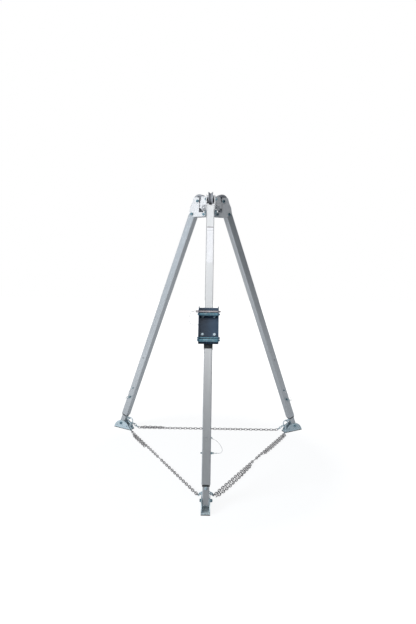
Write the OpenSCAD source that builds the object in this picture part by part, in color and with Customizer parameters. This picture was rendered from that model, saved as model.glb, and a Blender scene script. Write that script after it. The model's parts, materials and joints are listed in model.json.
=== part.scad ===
/* [Stand] */
// Angle of each leg from the vertical when the tripod stands open
splay = 22; // [18:0.5:26]
// Distance from the tripod axis to the hinge axis of each leg
hinge_r = 42; // [41:0.5:50]
// Distance from the leg hinge out to the centre line of the leg tube
leg_offset = 107; // [100:0.5:115]
// Height of the foot bolt above the floor
foot_bolt_h = 52; // [48:0.5:60]

/* [Upper leg] */
// Outer width of the square upper tube
tube_w = 57; // [54:0.5:62]
// Wall of the upper tube
tube_wall = 4.8; // [4:0.1:6]
// Length of the upper tube
tube_len = 1950; // [1700:10:2200]
// Outside corner radius of both tubes
tube_corner = 5; // [2:0.5:6]
// Thickness of the guide bush between the two tubes, with its play
bush_gap = 1.5; // [1.2:0.1:2.5]
// Length of the guide bush inside the upper tube
bush_len = 60; // [30:5:100]
// Height of the bush flange below the upper tube
bush_flange = 12; // [8:1:14]

/* [Lower leg] */
// Wall of the lower tube
inner_wall = 4; // [3:0.1:5]
// Length of the lower tube
inner_len = 1150; // [900:10:1400]
// From the end of the upper tube down to the foot bolt, leg closed
leg_shown = 95; // [88:1:130]
// From the foot bolt to the end of the lower tube
foot_end = 26; // [18:1:28]
// Spacing of the locking holes
hole_pitch = 101.6; // [80:0.2:120]
// Number of locking positions
hole_count = 7; // [3:1:7]
// From the end of the upper tube up to its locking hole
pin_up = 190; // [120:5:300]

/* [Detent pins] */
// Diameter of the leg pins
pin_d = 9.5; // [8:0.5:12]
// Pin left standing out beyond the tube at its tip
pin_tip = 11; // [8:1:20]
// Outer diameter of the pin's pull ring
pull_ring_d = 34; // [28:1:45]
// Wire of the pull rings
pull_wire = 2.6; // [2:0.2:3.4]

/* [Head] */
// Radius of the round hub in the middle of the head
core_r = 38; // [34:0.5:40]
// Thickness of the side plates of each head arm
arm_t = 7; // [5:0.5:8]
// Reach of the head arms, where the leg brackets bear on them
arm_reach = 86; // [80:1:90]
// Height of the head arms' underside above the hinge axis
arm_low = 47; // [36:1:60]
// Height of the head's top above the hinge axis
head_top = 138; // [128:1:144]
// Radius of the round ends at the leg hinges
toe_r = 17; // [14:0.5:17]
// Bore of the anchor eyes
eye_bore = 22; // [16:1:24]
// Thickness of the anchor eyes
eye_t = 14; // [10:1:20]
// Distance from the tripod axis to the anchor eye bores
eye_r = 62; // [58:1:70]
// Height of the anchor eye bores above the hinge axis
eye_up = 46; // [40:1:56]

/* [Leg bracket] */
// Thickness of the bracket cheeks
cheek_t = 6.5; // [5:0.5:8]
// Depth of the bracket's plug inside the tube
plug_len = 80; // [60:5:140]
// Height of the bracket's shoulder on the tube end
shoulder_h = 14; // [8:1:18]
// Diameter of the hinge, sheave and tube bolts
bolt_d = 12; // [10:0.5:14]
// Thickness of the hinge washers
washer_t = 2.1; // [1:0.1:3]

/* [Sheave] */
// Outer diameter of the head sheaves
sheave_d = 108; // [96:1:110]
// Width of the sheave rim
sheave_w = 36; // [24:1:40]
// Distance from the hinge axis out to the sheave axle
sheave_out = 55; // [50:1:60]
// Height of the sheave axle above the hinge axis
sheave_up = 104; // [98:1:110]
// Depth of the rope groove
groove_depth = 11.5; // [8:0.5:14]
// Radius of the groove bottom
groove_r = 4; // [3:0.5:6]

/* [Feet] */
// Radius of the foot's side plates
foot_arc = 97; // [90:1:110]
// Depth of the arc's centre below the floor
foot_sink = 20; // [10:1:30]
// Distance of the arc's centre inward from the foot bolt
foot_back = 11; // [4:1:16]
// Thickness of the foot plates
foot_plate = 5; // [4:0.5:6]
// Thickness of the sole plate
sole_t = 6; // [4:0.5:8]
// Thickness of the rubber pad
pad_t = 6; // [4:0.5:10]
// Play of the lower tube between the foot's side plates
foot_play = 1.8; // [1.4:0.1:3]
// Step of the side plates' inner ends behind the sole, clear of the chain when the foot tilts
foot_step = 5.5; // [5:0.5:12]

/* [Chain] */
// Wire of the chain links
link_wire = 5.5; // [4:0.5:6]
// Inside length of a chain link
link_len = 24; // [22:0.5:30]
// Outer width of a chain link
link_w = 21.5; // [20:0.5:24]
// Outer diameter of the ring that holds the chain on each leg
ring_d = 60; // [54:1:66]
// Wire of that ring
ring_wire = 8; // [7:0.5:8.5]
// Angle of the ring from the vertical, drawn in by the chain
ring_lean = 26; // [20:1:32]
// Diameter of the eye bolt's shank
eyebolt_d = 8; // [6:0.5:10]
// Inside diameter of the eye
eyebolt_hole = 15; // [14:0.5:18]

/* [Winch bracket] */
// Width over the bracket's side flanges
winch_w = 138; // [120:1:160]
// Height of the winch bracket
winch_h = 256; // [220:2:300]
// Depth of the side flanges
winch_depth = 60; // [56:1:80]
// Thickness of the bracket plate
winch_t = 5; // [4:0.5:6]
// From the end of the upper tube up to the bracket
winch_up = 900; // [700:10:1100]
// Thickness of the rubber liner round the tube
liner_t = 2; // [1:0.5:4]
// Diameter of the winch pin
winch_pin_d = 12.5; // [10:0.5:16]
// Diameter of the cross tubes
cross_d = 22; // [16:1:28]

/* [Clearances] */
// Radial play of bolts and pins in their holes
fit = 0.1; // [0.05:0.01:0.15]
// Gap between faces that slide or bear on each other
face_gap = 0.3; // [0.2:0.05:0.4]

/* [Hidden] */
LEGS = [["front", 270, 1], ["left", 150, 1], ["right", 30, -1]];
$fn = 48;

// Tube sections and their ends, in the frame of a leg
cavity = tube_w - 2 * tube_wall;
inner_w = cavity - 2 * bush_gap;
tube_face = leg_offset + tube_w / 2;
foot_z = -(tube_len + leg_shown);
inner_low = foot_z - foot_end;
pin_z = pin_up - tube_len;
eyebolt_z = -tube_len - bush_flange - eyebolt_d - 2;
lanyard_z = pin_z + 95;

// Heights and radii in the frame of the whole tripod
hinge_h = foot_bolt_h - leg_offset * sin(splay) - foot_z * cos(splay);
foot_r = hinge_r + leg_offset * cos(splay) - foot_z * sin(splay);
foot_mid = foot_r - foot_back;
sole_half = sqrt(foot_arc * foot_arc - foot_sink * foot_sink);
foot_half_w = inner_w / 2 + foot_play + foot_plate;
foot_far = foot_mid + sole_half;
tripod_y = (foot_far - foot_far * sin(30) - foot_half_w * cos(30)) / 2;

// Stack across a leg hinge, from the middle out
cheek_in = tube_w / 2;
arm_out = cheek_in - washer_t - 2 * face_gap + 0.2;
arm_in = arm_out - arm_t;
rib_w = 7.5;
bolt_hole = bolt_d + 2 * fit;
tube_bolt = [leg_offset - 5, -34];

// Chain ring, hung on the innermost wire of the eye and drawn in by the chain
eyebolt_mean = (eyebolt_hole + eyebolt_d) / 2;
eyebolt_x = leg_offset - inner_w / 2 - 22;
ring_mean = (ring_d - ring_wire) / 2;
eye_wire_x = eyebolt_x - eyebolt_mean;
eye_wire = [
    hinge_r + eye_wire_x * cos(splay) - eyebolt_z * sin(splay),
    hinge_h + eye_wire_x * sin(splay) + eyebolt_z * cos(splay)
];
ring_way = [-sin(ring_lean), -cos(ring_lean)];
ring_mid = eye_wire + (ring_mean - (eyebolt_d + ring_wire) / 2 - face_gap) * ring_way;
link_mean = (link_w - link_wire) / 2;
link_sag = link_mean - (link_wire + ring_wire) / 2 - face_gap;
chain_top = ring_mid + (ring_mean + link_sag) * ring_way;

// Chain route, as the turn and the drop of each link away from the ring
link_gap = 0.5;
link_step = link_len - link_gap;
lead_turn = [25, 50, 60];
lead_drop = [35, 45, 35];
lead_count = len(lead_turn);
floor_gap = 0.6;
chain_low = link_mean * sin(45) + link_wire / 2 + floor_gap;
function lead_way(k) = [
    -cos(lead_drop[k]) * sin(lead_turn[k]),
    cos(lead_drop[k]) * cos(lead_turn[k]),
    -sin(lead_drop[k])
];
function lead_point(k) = k == 0
    ? [chain_top[0], link_step / 2, chain_top[1]]
    : lead_point(k - 1) + link_step * lead_way(k - 1);
lead_end = lead_point(lead_count);
last_drop = asin((lead_end[2] - chain_low) / link_step);
span_way = [-cos(30), sin(30), 0];
floor_start = lead_end + link_step * (cos(last_drop) * span_way - [0, 0, sin(last_drop)]);
mid_gap = 2 * face_gap;
floor_run = floor_start[0] * cos(30) - floor_start[1] * sin(30) - link_wire - mid_gap;
floor_links = round(floor_run / link_step);
floor_step = floor_run / floor_links;
roll_first = ring_lean;
roll_floor = 45;
roll_step = 6;

// Winch bracket, in the frame of the front leg
winch_low = winch_up - tube_len;
winch_high = winch_low + winch_h;
winch_x = tube_face + liner_t;
winch_in = winch_w / 2 - winch_t;
winch_pin_at = [winch_x + 46, winch_high - 39];
cross_top_at = [winch_x + 36, winch_high - 56];
cross_low_at = [winch_x + 40, winch_low + 18];
hook_rod_at = [winch_x + 20, winch_low + 38];
clamp_s = 41;
clamp_bolt_d = 10;
clamp_z = [winch_low + 66, winch_high - 62];
clamp_x = leg_offset - tube_w / 2 - liner_t - winch_t;

// Cord routes, in the frame of a leg, for a pin that points to minus Y
cord_d = 2;
lanyard_route = [
    [0, 32, 89], [0, 44, 87], [1, 72, 70], [2, 95, 40], [2, 102, 20], [1, 95, 5], [0, 82, 0], [0, 73.6, 0]
];
winch_route = [
    [0, 0, 0], [0, -8, -8], [-6, -17, -34], [-16, -18, -60], [-26, -6, -82],
    [-30, 14, -90], [-30, 34, -88], [-30, 44, -86]
];

function unit(v) = v / norm(v);
function xy(p) = [p[0], p[1]];

// Points of an outline whose corners are rounded by the third value of each point
function corner(a, b, c, r, n = 8) = r == 0 ? [b] :
    let (
        u = unit(a - b),
        v = unit(c - b),
        half = acos(u * v) / 2,
        m = b + unit(u + v) * r / sin(half),
        p = b + u * r / tan(half) - m,
        q = b + v * r / tan(half) - m,
        from = atan2(p[1], p[0]),
        sweep = (atan2(q[1], q[0]) - from + 540) % 360 - 180
    )
    [for (i = [0:n]) m + r * [cos(from + sweep * i / n), sin(from + sweep * i / n)]];

function outline(pts) = let (n = len(pts))
    [for (i = [0:n - 1]) each corner(
        xy(pts[(i + n - 1) % n]), xy(pts[i]), xy(pts[(i + 1) % n]), pts[i][2])];

function box_outline(w, r) = outline([
    [-w / 2, -w / 2, r], [w / 2, -w / 2, r], [w / 2, w / 2, r], [-w / 2, w / 2, r]
]);

// A leg's own frame stands on its hinge, with Z up the leg and X outward
module on_leg(leg) translate([0, tripod_y, 0]) rotate([0, 0, leg[1]]) children();
module leg_frame() translate([hinge_r, 0, hinge_h]) rotate([0, -splay, 0]) children();
module hinge_level() translate([0, 0, hinge_h]) children();
module both_sides() {
    children();
    mirror([0, 1, 0]) children();
}

// A plate that stands in the X and Z plane, from side s0 on, with thickness t
module plate(s0, t) translate([0, s0 + t, 0]) rotate([90, 0, 0]) linear_extrude(t) children();

// A rod across the leg at [x, z], between two places along Y
module cross_rod(d, at, s0, s1) translate([at[0], s0, at[1]]) rotate([-90, 0, 0])
    cylinder(d = d, h = s1 - s0);

module square_tube(w, wall, low, high) translate([leg_offset, 0, low]) linear_extrude(high - low)
    difference() {
        polygon(box_outline(w, tube_corner));
        square(w - 2 * wall, center = true);
    }

// Hexagon bolt across the leg, with a washer under its head and a nut on its far end
module cross_bolt(d, at, half) {
    head = 0.62 * d;
    cross_rod(d, at, -half, half + 1.15 * d);
    cross_rod(1.9 * d, at, -half - 2, -half);
    translate([at[0], -half - 2, at[1]]) rotate([90, 0, 0]) cylinder(d = 1.75 * d, h = head, $fn = 6);
    difference() {
        union() {
            cross_rod(1.9 * d, at, half, half + 2);
            translate([at[0], half + 2, at[1]]) rotate([-90, 0, 0])
                cylinder(d = 1.75 * d, h = 0.8 * d, $fn = 6);
        }
        cross_rod(d + 2 * fit, at, half - 1, half + 2 * d);
    }
}

module arm_outline() polygon(outline([
    [12, -toe_r, 0],
    [hinge_r + toe_r, -toe_r, toe_r - 0.1],
    [hinge_r + toe_r, toe_r, toe_r - 0.1],
    [core_r - 4, toe_r, 5],
    [core_r - 4, arm_low, 8],
    [arm_reach, arm_low, 6],
    [arm_reach, arm_low + 41, 8],
    [arm_reach - 8, sheave_up, 6],
    [arm_reach - 14, head_top, 14],
    [12, head_top, 0]
]));

module anchor_eye() difference() {
    plate(-eye_t / 2, eye_t) polygon(outline([
        [core_r - 10, eye_up - 26, 0],
        [eye_r + 18, eye_up - 18, 17.5],
        [eye_r + 18, eye_up + 18, 17.5],
        [core_r - 10, eye_up + 30, 0]
    ]));
    cross_rod(eye_bore, [eye_r, eye_up], -eye_t, eye_t);
}

module head_hub() color("Silver") translate([0, tripod_y, hinge_h]) rotate([0, 0, 30])
    rotate_extrude() polygon(outline([
        [core_r / 4, -toe_r - 4, 0],
        [core_r, -toe_r - 4, 3],
        [core_r, head_top, 1],
        [core_r - 8, head_top + 5, 5],
        [core_r / 4, head_top + 5, 0]
    ]));

module hub_seat() translate([0, 0, -2 * toe_r]) cylinder(r = core_r, h = head_top + 3 * toe_r);

module head_arms() color("Silver") for (leg = LEGS) on_leg(leg) hinge_level() both_sides()
    difference() {
        plate(arm_in, arm_t) arm_outline();
        cross_rod(bolt_hole, [hinge_r, 0], arm_in - 1, arm_out + 1);
        hub_seat();
    }

module anchor_eyes() color("Silver") for (leg = LEGS) on_leg(leg) hinge_level()
    rotate([0, 0, 60]) difference() {
        anchor_eye();
        hub_seat();
    }

module hinge_bolts() color("LightSteelBlue") for (leg = LEGS) on_leg(leg) hinge_level() both_sides() {
    at = [hinge_r, 0];
    cross_rod(bolt_d, at, arm_in + 0.5, cheek_in + cheek_t + 0.3);
    cross_rod(1.6 * bolt_d, at, cheek_in + cheek_t + 0.3, cheek_in + cheek_t + 6);
}

module hinge_washers() color("WhiteSmoke") for (leg = LEGS) on_leg(leg) hinge_level() both_sides()
    difference() {
        cross_rod(2 * toe_r - 6, [hinge_r, 0], arm_out + 0.2, arm_out + 0.2 + washer_t);
        cross_rod(bolt_d + 2 * face_gap, [hinge_r, 0], arm_out, cheek_in);
    }

// Cheek of a leg bracket, measured from the leg hinge with the leg open
module cheek_outline() {
    stop = arm_reach - hinge_r + face_gap;
    polygon(outline([
        [1 - toe_r, -toe_r, toe_r - 0.1],
        [leg_offset - 15, -toe_r, 14],
        [leg_offset + 27, toe_r - 4, 12],
        [leg_offset + 19, sheave_up - 47, 30],
        [sheave_out + 51, sheave_up - 8, 30],
        [sheave_out + 39, sheave_up + 29, 16],
        [stop, sheave_up + 29, 12],
        [stop, toe_r, 6],
        [1 - toe_r, toe_r, toe_r - 0.1]
    ]));
}

module leg_bracket() color("Silver") difference() {
    union() {
        translate([hinge_r, 0, hinge_h]) both_sides() {
            plate(cheek_in, cheek_t) cheek_outline();
            plate(cheek_in - rib_w, rib_w) translate([arm_reach - hinge_r + face_gap, arm_low + 4])
                square([9, 34]);
        }
        leg_frame() {
            translate([leg_offset - tube_w / 2, -tube_w / 2, 0]) cube([tube_w, tube_w, shoulder_h]);
            translate([leg_offset - cavity / 2 + 0.2, -cavity / 2 + 0.2, -plug_len])
                cube([cavity - 0.4, cavity - 0.4, plug_len + 1]);
        }
    }
    translate([hinge_r, 0, hinge_h]) {
        cross_rod(bolt_hole, [0, 0], -tube_w, tube_w);
        cross_rod(bolt_hole, [sheave_out, sheave_up], -tube_w, tube_w);
    }
    leg_frame() {
        cross_rod(bolt_hole, tube_bolt, -tube_w, tube_w);
        translate([leg_offset + 10, 0, shoulder_h + 2]) rotate([0, 90, 0])
            cylinder(d = 2 * shoulder_h, h = tube_w);
    }
}

module leg_fasteners(leg) color("LightSteelBlue") {
    half = cheek_in + cheek_t;
    translate([hinge_r, 0, hinge_h]) cross_bolt(bolt_d, [sheave_out, sheave_up], half);
    leg_frame() {
        cross_bolt(bolt_d, tube_bolt, half);
        mirror([0, leg[2] < 0 ? 1 : 0, 0]) lanyard_screw();
    }
}

module lanyard_screw() translate([leg_offset, tube_w / 2, lanyard_z]) rotate([-90, 0, 0]) {
    cylinder(d = 12, h = 2);
    cylinder(d = 5, h = 6);
    translate([0, 0, 5]) cylinder(d = 9, h = 3);
    translate([0, 0, -tube_wall]) cylinder(d = 4.8, h = tube_wall + 1);
}

module upper_tube(leg) color("Gainsboro") leg_frame() difference() {
    square_tube(tube_w, tube_wall, -tube_len, 0);
    cross_rod(bolt_hole, tube_bolt, -tube_w, tube_w);
    cross_rod(pin_d + 2 * fit, [leg_offset, pin_z], -tube_w, tube_w);
    cross_rod(pin_d + 2 * fit, [leg_offset, pin_z + 4 * hole_pitch], -tube_w, tube_w);
    translate([leg_offset, 0, lanyard_z]) rotate([-90 * leg[2], 0, 0]) cylinder(d = 5, h = tube_w);
    translate([leg_offset, 0, pin_z + 94]) rotate([0, leg[0] == "front" ? 90 : -90, 0])
        cylinder(d = 8, h = tube_w);
}

module tube_bush() color("DimGray") leg_frame() difference() {
    translate([leg_offset, 0, -tube_len - bush_flange]) {
        linear_extrude(bush_flange) polygon(box_outline(tube_w - 7, tube_corner));
        translate([0, 0, bush_flange - 1]) linear_extrude(bush_len + 1)
            square(cavity - 0.2, center = true);
    }
    translate([leg_offset, 0, -tube_len - bush_flange - 1]) linear_extrude(bush_len + bush_flange + 2)
        square(inner_w + 2 * face_gap, center = true);
}

module sheave() color("DarkSlateGray") translate([hinge_r + sheave_out, 0, hinge_h + sheave_up])
    rotate([-90, 0, 0]) difference() {
        rim = sheave_d / 2;
        side = sheave_w / 2;
        boss = cheek_in - face_gap;
        lip = 3.5;
        floor_r = rim - groove_depth;
        rotate_extrude() polygon(concat(
            [
                [bolt_d / 2 + fit, -boss], [bolt_d, -boss], [bolt_d, -side], [19, -side],
                [22, -side / 2], [floor_r - 7, -side / 2], [floor_r - 4, -side],
                [rim - 1, -side], [rim, 1 - side], [rim, lip - side]
            ],
            [for (i = [-60:20:60]) [floor_r + groove_r * (1 - cos(i)), groove_r * sin(i)]],
            [
                [rim, side - lip], [rim, side - 1], [rim - 1, side],
                [floor_r - 4, side], [floor_r - 7, side / 2], [22, side / 2],
                [19, side], [bolt_d, side], [bolt_d, boss], [bolt_d / 2 + fit, boss]
            ]
        ));
        for (i = [0:5]) rotate([0, 0, 60 * i]) translate([floor_r - 14, 0, -side])
            cylinder(d = 10, h = sheave_w);
    }

// Pin with a domed tip, a flanged head and a pull ring through the head
module ring_pin(d, at, head_s, tip_s) {
    eye_s = head_s + 12;
    ring_r = (pull_ring_d - pull_wire) / 2;
    bow = ring_r - sqrt(ring_r * ring_r - pow(0.65 * d, 2));
    difference() {
        union() {
            cross_rod(d, at, tip_s + d / 2, head_s + 1);
            translate([at[0], tip_s + d / 2, at[1]]) sphere(d = d);
            cross_rod(1.9 * d, at, head_s, head_s + 3);
            cross_rod(1.3 * d, at, head_s + 3, head_s + 17);
        }
        translate([at[0] - d, eye_s, at[1]]) rotate([0, 90, 0])
            cylinder(d = pull_wire + 3.2, h = 2 * d);
    }
    translate([at[0], eye_s - bow / 2 + ring_r, at[1]]) rotate_extrude()
        translate([ring_r, 0]) circle(d = pull_wire, $fn = 24);
}

module detent_pin(leg) color("LightSteelBlue") leg_frame() mirror([0, leg[2] < 0 ? 1 : 0, 0])
    ring_pin(pin_d, [leg_offset, pin_z], tube_w / 2 + face_gap, -tube_w / 2 - pin_tip);

module lower_tube() color("Silver") leg_frame() difference() {
    square_tube(inner_w, inner_wall, inner_low, inner_low + inner_len);
    cross_rod(bolt_hole, [leg_offset, foot_z], -tube_w, tube_w);
    for (i = [0:hole_count - 1])
        cross_rod(pin_d + 2 * face_gap, [leg_offset, pin_z + i * hole_pitch], -tube_w, tube_w);
    translate([leg_offset - tube_w, 0, eyebolt_z]) rotate([0, 90, 0])
        cylinder(d = eyebolt_d + 2 * fit, h = 2 * tube_w);
}

module tube_glide() color("DimGray") leg_frame() translate([leg_offset, 0, inner_low + inner_len]) {
    linear_extrude(12) square(cavity - 2 * face_gap, center = true);
    translate([0, 0, -25]) linear_extrude(26) square(inner_w - 2 * inner_wall - 0.2, center = true);
}

module foot_bolt() color("LightSteelBlue") leg_frame() {
    at = [leg_offset, foot_z];
    cross_bolt(bolt_d, at, foot_half_w + 0.2);
    both_sides() difference() {
        cross_rod(2 * bolt_d, at, inner_w / 2, inner_w / 2 + foot_play - 0.2);
        cross_rod(bolt_d + 2 * fit, at, 0, tube_w);
    }
}

module eye_bolt() color("LightSteelBlue") leg_frame() translate([0, 0, eyebolt_z]) {
    in_x = leg_offset - inner_w / 2;
    out_x = leg_offset + inner_w / 2;
    translate([eyebolt_x, 0, 0]) rotate_extrude() translate([eyebolt_mean, 0])
        circle(d = eyebolt_d, $fn = 32);
    translate([eyebolt_x + eyebolt_mean - 1, 0, 0]) rotate([0, 90, 0])
        cylinder(d = eyebolt_d, h = out_x - eyebolt_x - eyebolt_mean + 12);
    translate([in_x - 3, 0, 0]) rotate([0, 90, 0]) cylinder(d = 2 * eyebolt_d, h = 3);
    difference() {
        union() {
            translate([out_x, 0, 0]) rotate([0, 90, 0]) cylinder(d = 20, h = 2);
            translate([out_x + 2, 0, 0]) rotate([0, 90, 0]) cylinder(d = 14, h = 7, $fn = 6);
        }
        translate([out_x - 1, 0, 0]) rotate([0, 90, 0]) cylinder(d = eyebolt_d + 2 * fit, h = 12);
    }
}

module foot_disc(s0, t) cross_rod(2 * foot_arc, [foot_mid, -foot_sink], s0, s0 + t);

module foot_shoe() color("LightSteelBlue") difference() {
    union() {
        both_sides() intersection() {
            foot_disc(foot_half_w - foot_plate, foot_plate);
            translate([foot_step, 0, 0]) foot_disc(foot_half_w - foot_plate, foot_plate);
            translate([0, 0, pad_t]) cube([2 * foot_r, foot_half_w, foot_arc]);
        }
        intersection() {
            foot_disc(-foot_half_w, 2 * foot_half_w);
            translate([0, -foot_half_w, pad_t]) cube([2 * foot_r, 2 * foot_half_w, sole_t]);
        }
    }
    cross_rod(bolt_hole, [foot_r, foot_bolt_h], -tube_w, tube_w);
    for (x = [foot_mid - 56, foot_mid + 57]) cross_rod(11, [x, 30], -tube_w, tube_w);
}

module foot_pad() color("DarkSlateGray") difference() {
    intersection() {
        foot_disc(-foot_half_w, 2 * foot_half_w);
        translate([0, -foot_half_w, 0]) cube([2 * foot_r, 2 * foot_half_w, pad_t]);
    }
    for (i = [-4:4]) translate([foot_mid + 19 * i - 1.5, -foot_half_w - 1, -1])
        cube([3, 2 * foot_half_w + 2, 3]);
}

// One link, with its length along X and its width along Y
module link() {
    reach = link_len / 2 + link_wire / 2 - link_mean;
    for (side = [0, 180]) rotate([0, 0, side]) {
        translate([reach, 0, 0]) rotate([0, 0, -90]) rotate_extrude(angle = 180)
            translate([link_mean, 0]) circle(d = link_wire, $fn = 24);
        translate([-reach, link_mean, 0]) rotate([0, 90, 0])
            cylinder(d = link_wire, h = 2 * reach, $fn = 24);
    }
}

// A link centred between two points of the route, rolled about its own length
module link_between(a, b, roll) {
    way = b - a;
    translate((a + b) / 2) rotate([0, 0, atan2(way[1], way[0])])
        rotate([0, -asin(way[2] / norm(way)), 0]) rotate([roll + 90, 0, 0]) link();
}

function roll_of(k) = roll_first + min(roll_floor - roll_first, roll_step * k) + 90 * (k % 2);

module chain_ring() color("LightSteelBlue") {
    translate([ring_mid[0], 0, ring_mid[1]]) rotate([90, 0, 0]) rotate_extrude()
        translate([ring_mean, 0]) circle(d = ring_wire, $fn = 32);
    link_between([chain_top[0], -link_step / 2, chain_top[1]], lead_point(0), roll_first);
    both_sides() for (k = [0:lead_count - 1])
        link_between(lead_point(k), lead_point(k + 1), roll_of(k + 1));
}

module chain_half() color("Gray") {
    link_between(lead_end, floor_start, roll_of(lead_count + 1));
    for (k = [0:floor_links - 1])
        link_between(
            floor_start + floor_step * k * span_way,
            floor_start + floor_step * (k + 1) * span_way,
            roll_of(lead_count + 2 + k));
}

module winch_side() plate(winch_in, winch_t) polygon(outline([
    [winch_x, winch_low, 0],
    [winch_x + winch_depth, winch_low, 22],
    [winch_x + winch_depth, winch_high, 22],
    [winch_x, winch_high, 0]
]));

module winch_bracket() color("MidnightBlue") on_leg(LEGS[0]) leg_frame() difference() {
    union() {
        both_sides() winch_side();
        translate([winch_x, -winch_w / 2, winch_low]) cube([winch_t, winch_w, winch_h]);
    }
    cross_rod(winch_pin_d + 2 * fit, winch_pin_at, -winch_w, winch_w);
    for (at = [cross_top_at, cross_low_at, hook_rod_at])
        cross_rod(8 + 2 * fit, at, -winch_w, winch_w);
    for (s = [-clamp_s, clamp_s], z = clamp_z) translate([winch_x - 1, s, z]) rotate([0, 90, 0])
        cylinder(d = clamp_bolt_d + 2 * fit, h = winch_t + 2);
}

module winch_crossbars() color("CadetBlue") on_leg(LEGS[0]) leg_frame() {
    for (row = [[cross_top_at, cross_d], [cross_low_at, cross_d], [hook_rod_at, 14]]) {
        difference() {
            cross_rod(row[1], row[0], -winch_in + 0.2, winch_in - 0.2);
            cross_rod(8 + 2 * fit, row[0], -winch_w, winch_w);
        }
        cross_bolt(8, row[0], winch_w / 2 + 0.1);
    }
}

module winch_clamp() color("MidnightBlue") on_leg(LEGS[0]) leg_frame() {
    bolt_len = winch_x + winch_t - clamp_x;
    difference() {
        translate([clamp_x, -clamp_s - 13, clamp_z[0] - 20])
            cube([winch_t, 2 * clamp_s + 26, clamp_z[1] - clamp_z[0] + 40]);
        for (s = [-clamp_s, clamp_s], z = clamp_z) translate([clamp_x - 1, s, z]) rotate([0, 90, 0])
            cylinder(d = clamp_bolt_d + 2 * fit, h = winch_t + 2);
    }
    for (s = [-clamp_s, clamp_s], z = clamp_z) translate([clamp_x, s, z]) rotate([0, 90, 0]) {
        translate([0, 0, -12]) cylinder(d = clamp_bolt_d, h = bolt_len + 12);
        translate([0, 0, bolt_len]) cylinder(d = 20, h = 2);
        translate([0, 0, bolt_len + 2]) cylinder(d = 18, h = 6, $fn = 6);
        difference() {
            translate([0, 0, -8]) cylinder(d = 18, h = 8, $fn = 6);
            translate([0, 0, -9]) cylinder(d = clamp_bolt_d + 2 * fit, h = 10);
        }
    }
}

module winch_liner() color("DarkSlateGray") on_leg(LEGS[0]) leg_frame()
    translate([leg_offset, 0, winch_low - 30]) linear_extrude(winch_h + 30) difference() {
        square(tube_w + 2 * liner_t, center = true);
        square(tube_w + 0.2, center = true);
    }

module winch_pin() color("LightSteelBlue") on_leg(LEGS[0]) leg_frame() mirror([0, 1, 0])
    ring_pin(winch_pin_d, winch_pin_at, winch_w / 2 + face_gap, -winch_w / 2 - 14);

// A cord with eight sides, swept along its route
module cord(route) {
    n = len(route);
    sides = 8;
    way = [for (i = [0:n - 1]) unit(route[min(i + 1, n - 1)] - route[max(i - 1, 0)])];
    rings = [for (i = [0:n - 1])
        let (u = unit(cross(way[i], [1, 0.1, 0])), v = cross(way[i], u))
        for (j = [0:sides - 1])
            route[i] + cord_d / 2 * (cos(360 * j / sides) * u + sin(360 * j / sides) * v)];
    walls = [for (i = [0:n - 2], j = [0:sides - 1])
        let (k = (j + 1) % sides)
        [i * sides + j, (i + 1) * sides + j, (i + 1) * sides + k, i * sides + k]];
    ends = [
        [for (j = [0:sides - 1]) j],
        [for (j = [sides - 1:-1:0]) (n - 1) * sides + j]
    ];
    polyhedron(concat(rings), concat(walls, ends));
}

module lanyard(leg) color("DimGray") leg_frame() mirror([0, leg[2] < 0 ? 1 : 0, 0])
    translate([leg_offset, 0, pin_z]) cord(lanyard_route);

module lanyard_winch() color("DimGray") on_leg(LEGS[0]) leg_frame()
    translate([winch_pin_at[0], -winch_w / 2 - 45.3, winch_pin_at[1]]) cord(winch_route);

head_hub();
head_arms();
anchor_eyes();
hinge_bolts();
hinge_washers();
for (leg = LEGS) {
    on_leg(leg) upper_tube(leg);
    on_leg(leg) leg_bracket();
    on_leg(leg) leg_fasteners(leg);
    on_leg(leg) tube_bush();
    on_leg(leg) sheave();
    on_leg(leg) detent_pin(leg);
    on_leg(leg) lower_tube();
    on_leg(leg) tube_glide();
    on_leg(leg) foot_bolt();
    on_leg(leg) eye_bolt();
    on_leg(leg) foot_shoe();
    on_leg(leg) foot_pad();
    on_leg(leg) chain_ring();
    on_leg(leg) lanyard(leg);
}
on_leg(LEGS[0]) mirror([0, 1, 0]) chain_half();  // chain_front_to_left
on_leg(LEGS[0]) chain_half();  // chain_front_to_right
on_leg(LEGS[1]) chain_half();  // chain_left_to_front
on_leg(LEGS[1]) mirror([0, 1, 0]) chain_half();  // chain_left_to_right
on_leg(LEGS[2]) mirror([0, 1, 0]) chain_half();  // chain_right_to_front
on_leg(LEGS[2]) chain_half();  // chain_right_to_left
winch_bracket();
winch_crossbars();
winch_clamp();
winch_liner();
winch_pin();
lanyard_winch();
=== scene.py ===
import json
import math

import bmesh
import bpy
from mathutils import Matrix, Vector


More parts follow.
